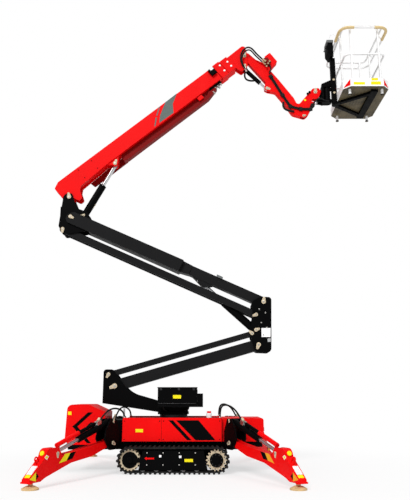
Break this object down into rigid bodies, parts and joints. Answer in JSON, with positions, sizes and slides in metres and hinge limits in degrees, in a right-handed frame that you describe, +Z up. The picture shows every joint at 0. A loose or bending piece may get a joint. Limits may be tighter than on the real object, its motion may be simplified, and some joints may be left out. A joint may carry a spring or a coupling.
{
  "type": "tracked spider lift",
  "caption": "Tracked articulating boom lift on folding outriggers: slewing riser arms on tie bars, telescopic boom, bent jib and railed basket.",
  "frame": {"origin": "on the floor under the slewing axis", "axes": "+X towards the boom head and basket in the parked pose, +Y across the machine, +Z up"},
  "size_m": [5.8407, 4.3714, 7.53],
  "materials": {
    "red_paint": "gloss",
    "black_paint": "satin",
    "track_rubber": "matt",
    "cream_paint": "satin",
    "dark_steel": "satin",
    "white_paint": "gloss",
    "basket_aluminium": "satin",
    "chrome_rod": "polished",
    "foot_pad": "matt"
  },
  "bodies": {
    "chassis": {"chassis_frame": "black_paint", "side_panels": "red_paint", "engine_hood": "red_paint", "tank_hood": "red_paint", "slew_ring": "dark_steel", "leg_brackets": "black_paint", "track_belt_near": "track_rubber", "track_belt_far": "track_rubber", "track_frames": "black_paint", "track_wheels": "cream_paint", "track_rollers": "dark_steel"},
    "turret": {"turret_frame": "black_paint", "control_box": "black_paint", "valve_box": "black_paint"},
    "lower_arm": {"lower_arm": "black_paint"},
    "lower_tie": {"lower_tie": "black_paint"},
    "elbow": {"elbow_bracket": "black_paint"},
    "sync_link": {"sync_link": "black_paint"},
    "upper_arm": {"upper_arm": "black_paint"},
    "upper_tie": {"upper_tie": "black_paint"},
    "arm_cyl_barrel": {"arm_cyl_barrel": "black_paint"},
    "arm_cyl_rod": {"arm_cyl_rod": "chrome_rod"},
    "top_bracket": {"top_bracket": "black_paint"},
    "boom_cyl_barrel": {"boom_cyl_barrel": "black_paint"},
    "boom_cyl_rod": {"boom_cyl_rod": "chrome_rod"},
    "boom_outer": {"boom_outer": "red_paint", "boom_tray": "red_paint"},
    "boom_mid": {"boom_mid": "red_paint"},
    "boom_inner": {"boom_inner": "red_paint"},
    "jib": {"jib": "red_paint", "jib_hoses": "track_rubber"},
    "jib_cyl_barrel": {"jib_cyl_barrel": "black_paint"},
    "jib_cyl_rod": {"jib_cyl_rod": "chrome_rod"},
    "basket_bracket": {"basket_bracket": "black_paint"},
    "level_cyl_barrel": {"level_cyl_barrel": "black_paint"},
    "level_cyl_rod": {"level_cyl_rod": "chrome_rod"},
    "basket": {"basket_support": "black_paint", "basket_floor": "basket_aluminium", "basket_rails": "white_paint", "basket_panel": "black_paint"},
    "leg_right_far": {"leg_right_far": "red_paint", "foot_right_far": "foot_pad"},
    "leg_barrel_right_far": {"leg_barrel_right_far": "black_paint"},
    "leg_rod_right_far": {"leg_rod_right_far": "chrome_rod"},
    "leg_right_near": {"leg_right_near": "red_paint", "foot_right_near": "foot_pad"},
    "leg_barrel_right_near": {"leg_barrel_right_near": "black_paint"},
    "leg_rod_right_near": {"leg_rod_right_near": "chrome_rod"},
    "leg_left_far": {"leg_left_far": "red_paint", "foot_left_far": "foot_pad"},
    "leg_barrel_left_far": {"leg_barrel_left_far": "black_paint"},
    "leg_rod_left_far": {"leg_rod_left_far": "chrome_rod"},
    "leg_left_near": {"leg_left_near": "red_paint", "foot_left_near": "foot_pad"},
    "leg_barrel_left_near": {"leg_barrel_left_near": "black_paint"},
    "leg_rod_left_near": {"leg_rod_left_near": "chrome_rod"}
  },
  "joints": [
    {"name": "slew", "type": "hinge", "parent": "chassis", "child": "turret", "pos_m": [0, 0, 0.845], "axis": [0, 0, 1], "range_deg": [-180, 180]},
    {"name": "lower_arm_hinge", "type": "hinge", "parent": "turret", "child": "lower_arm", "pos_m": [-0.946, 0, 1.284], "axis": [0, -1, 0], "range_deg": [-18, 40]},
    {"name": "lower_tie_hinge", "type": "hinge", "parent": "turret", "child": "lower_tie", "pos_m": [-1.05, 0, 1.467], "axis": [0, -1, 0], "range_deg": [-18, 40]},
    {"name": "elbow_level", "type": "hinge", "parent": "lower_arm", "child": "elbow", "pos_m": [1.378, 0, 1.942], "axis": [0, 1, 0], "range_deg": [-18, 40]},
    {"name": "upper_arm_hinge", "type": "hinge", "parent": "elbow", "child": "upper_arm", "pos_m": [1.474, 0, 2.647], "axis": [0, 1, 0], "range_deg": [-16.57, 36.81]},
    {"name": "upper_tie_hinge", "type": "hinge", "parent": "elbow", "child": "upper_tie", "pos_m": [1.348, 0, 2.433], "axis": [0, 1, 0], "range_deg": [-16.57, 36.81]},
    {"name": "top_level", "type": "hinge", "parent": "upper_arm", "child": "top_bracket", "pos_m": [-1.8, 0, 4.112], "axis": [0, -1, 0], "range_deg": [-16.57, 36.81]},
    {"name": "sync_link_hinge", "type": "hinge", "parent": "lower_arm", "child": "sync_link", "pos_m": [1.523, 0, 1.914], "axis": [0, -1, 0], "range_deg": [-40.27, 18.13]},
    {"name": "arm_cyl_hinge", "type": "hinge", "parent": "elbow", "child": "arm_cyl_barrel", "pos_m": [1.34, 0, 2.182], "axis": [0, -1, 0], "range_deg": [-28.74, 12.94]},
    {"name": "arm_cyl_slide", "type": "slide", "parent": "arm_cyl_barrel", "child": "arm_cyl_rod", "axis": [-0.7432, 0, 0.6691], "range_m": [-0.1149, 0.25522]},
    {"name": "boom_hinge", "type": "hinge", "parent": "top_bracket", "child": "boom_outer", "pos_m": [-1.845, 0, 4.474], "axis": [0, -1, 0], "range_deg": [-34, 20]},
    {"name": "boom_cyl_hinge", "type": "hinge", "parent": "top_bracket", "child": "boom_cyl_barrel", "pos_m": [-1.62, 0, 4.118], "axis": [0, -1, 0], "range_deg": [-28.84, 16.97]},
    {"name": "boom_cyl_slide", "type": "slide", "parent": "boom_cyl_barrel", "child": "boom_cyl_rod", "axis": [0.4777, 0, 0.8785], "range_m": [-0.22673, 0.13341]},
    {"name": "boom_mid_slide", "type": "slide", "parent": "boom_outer", "child": "boom_mid", "axis": [0.7716, 0, 0.6361], "range_m": [0, 2.5]},
    {"name": "boom_inner_slide", "type": "slide", "parent": "boom_mid", "child": "boom_inner", "axis": [0.7716, 0, 0.6361], "range_m": [0, 2.5]},
    {"name": "jib_hinge", "type": "hinge", "parent": "boom_inner", "child": "jib", "pos_m": [1.23, 0, 7.229], "axis": [0, 1, 0], "range_deg": [-25, 15]},
    {"name": "jib_cyl_hinge", "type": "hinge", "parent": "boom_inner", "child": "jib_cyl_barrel", "pos_m": [1.232, 0, 7], "axis": [0, -1, 0], "range_deg": [-18.54, 30.89]},
    {"name": "jib_cyl_slide", "type": "slide", "parent": "jib_cyl_barrel", "child": "jib_cyl_rod", "axis": [0.6984, 0, -0.7157], "range_m": [-0.04355, 0.07252]},
    {"name": "basket_level", "type": "hinge", "parent": "jib", "child": "basket_bracket", "pos_m": [2.514, 0, 6.512], "axis": [0, 1, 0], "range_deg": [-38, 25]},
    {"name": "level_cyl_hinge", "type": "hinge", "parent": "jib", "child": "level_cyl_barrel", "pos_m": [2.282, 0, 6.042], "axis": [0, -1, 0], "range_deg": [-6.28, 4.13]},
    {"name": "level_cyl_slide", "type": "slide", "parent": "level_cyl_barrel", "child": "level_cyl_rod", "axis": [0.6668, 0, 0.7452], "range_m": [-0.05994, 0.09105]},
    {"name": "basket_turn", "type": "hinge", "parent": "basket_bracket", "child": "basket", "pos_m": [2.735, 0, 6.4], "axis": [0, 0, 1], "range_deg": [-60, 60]},
    {"name": "leg_hinge_right_far", "type": "hinge", "parent": "chassis", "child": "leg_right_far", "pos_m": [0.945, 0.6, 0.45], "axis": [0.8988, -0.4384, 0], "range_deg": [0, 45]},
    {"name": "leg_cyl_hinge_right_far", "type": "hinge", "parent": "chassis", "child": "leg_barrel_right_far", "pos_m": [0.945, 0.6, 0.755], "axis": [0.8988, -0.4384, 0], "range_deg": [-0.01, 45.51]},
    {"name": "leg_cyl_slide_right_far", "type": "slide", "parent": "leg_barrel_right_far", "child": "leg_rod_right_far", "axis": [0.4208, 0.8628, -0.28], "range_m": [-0.23333, 0.0001]},
    {"name": "leg_hinge_right_near", "type": "hinge", "parent": "chassis", "child": "leg_right_near", "pos_m": [0.945, -0.6, 0.45], "axis": [-0.8988, -0.4384, 0], "range_deg": [0, 45]},
    {"name": "leg_cyl_hinge_right_near", "type": "hinge", "parent": "chassis", "child": "leg_barrel_right_near", "pos_m": [0.945, -0.6, 0.755], "axis": [-0.8988, -0.4384, 0], "range_deg": [-0.01, 45.51]},
    {"name": "leg_cyl_slide_right_near", "type": "slide", "parent": "leg_barrel_right_near", "child": "leg_rod_right_near", "axis": [0.4208, -0.8628, -0.28], "range_m": [-0.23333, 0.0001]},
    {"name": "leg_hinge_left_far", "type": "hinge", "parent": "chassis", "child": "leg_left_far", "pos_m": [-0.945, 0.6, 0.45], "axis": [0.8988, 0.4384, 0], "range_deg": [0, 45]},
    {"name": "leg_cyl_hinge_left_far", "type": "hinge", "parent": "chassis", "child": "leg_barrel_left_far", "pos_m": [-0.945, 0.6, 0.755], "axis": [0.8988, 0.4384, 0], "range_deg": [-0.01, 45.51]},
    {"name": "leg_cyl_slide_left_far", "type": "slide", "parent": "leg_barrel_left_far", "child": "leg_rod_left_far", "axis": [-0.4208, 0.8628, -0.28], "range_m": [-0.23333, 0.0001]},
    {"name": "leg_hinge_left_near", "type": "hinge", "parent": "chassis", "child": "leg_left_near", "pos_m": [-0.945, -0.6, 0.45], "axis": [-0.8988, 0.4384, 0], "range_deg": [0, 45]},
    {"name": "leg_cyl_hinge_left_near", "type": "hinge", "parent": "chassis", "child": "leg_barrel_left_near", "pos_m": [-0.945, -0.6, 0.755], "axis": [-0.8988, 0.4384, 0], "range_deg": [-0.01, 45.51]},
    {"name": "leg_cyl_slide_left_near", "type": "slide", "parent": "leg_barrel_left_near", "child": "leg_rod_left_near", "axis": [-0.4208, -0.8628, -0.28], "range_m": [-0.23333, 0.0001]}
  ],
  "couplings": [
    {"joint": "lower_tie_hinge", "follows": "lower_arm_hinge", "ratio": 1},
    {"joint": "elbow_level", "follows": "lower_arm_hinge", "ratio": 1},
    {"joint": "upper_arm_hinge", "follows": "lower_arm_hinge", "ratio": 0.92},
    {"joint": "upper_tie_hinge", "follows": "lower_arm_hinge", "ratio": 0.92},
    {"joint": "top_level", "follows": "lower_arm_hinge", "ratio": 0.92},
    {"joint": "sync_link_hinge", "follows": "lower_arm_hinge", "ratio": -1.0065},
    {"joint": "arm_cyl_hinge", "follows": "lower_arm_hinge", "ratio": -0.7183},
    {"joint": "arm_cyl_slide", "follows": "lower_arm_hinge", "m_per_rad": 0.36543},
    {"joint": "boom_cyl_hinge", "follows": "boom_hinge", "ratio": 0.84807},
    {"joint": "boom_cyl_slide", "follows": "boom_hinge", "m_per_rad": 0.38191},
    {"joint": "boom_inner_slide", "follows": "boom_mid_slide", "ratio": 1},
    {"joint": "jib_cyl_hinge", "follows": "jib_hinge", "ratio": -1.235},
    {"joint": "jib_cyl_slide", "follows": "jib_hinge", "m_per_rad": -0.16598},
    {"joint": "level_cyl_hinge", "follows": "basket_level", "ratio": 0.16496},
    {"joint": "level_cyl_slide", "follows": "basket_level", "m_per_rad": -0.13713},
    {"joint": "leg_cyl_hinge_right_far", "follows": "leg_hinge_right_far", "ratio": 1.0112},
    {"joint": "leg_cyl_slide_right_far", "follows": "leg_hinge_right_far", "m_per_rad": -0.29696},
    {"joint": "leg_cyl_hinge_right_near", "follows": "leg_hinge_right_near", "ratio": 1.0112},
    {"joint": "leg_cyl_slide_right_near", "follows": "leg_hinge_right_near", "m_per_rad": -0.29696},
    {"joint": "leg_cyl_hinge_left_far", "follows": "leg_hinge_left_far", "ratio": 1.0112},
    {"joint": "leg_cyl_slide_left_far", "follows": "leg_hinge_left_far", "m_per_rad": -0.29696},
    {"joint": "leg_cyl_hinge_left_near", "follows": "leg_hinge_left_near", "ratio": 1.0112},
    {"joint": "leg_cyl_slide_left_near", "follows": "leg_hinge_left_near", "m_per_rad": -0.29696}
  ]
}
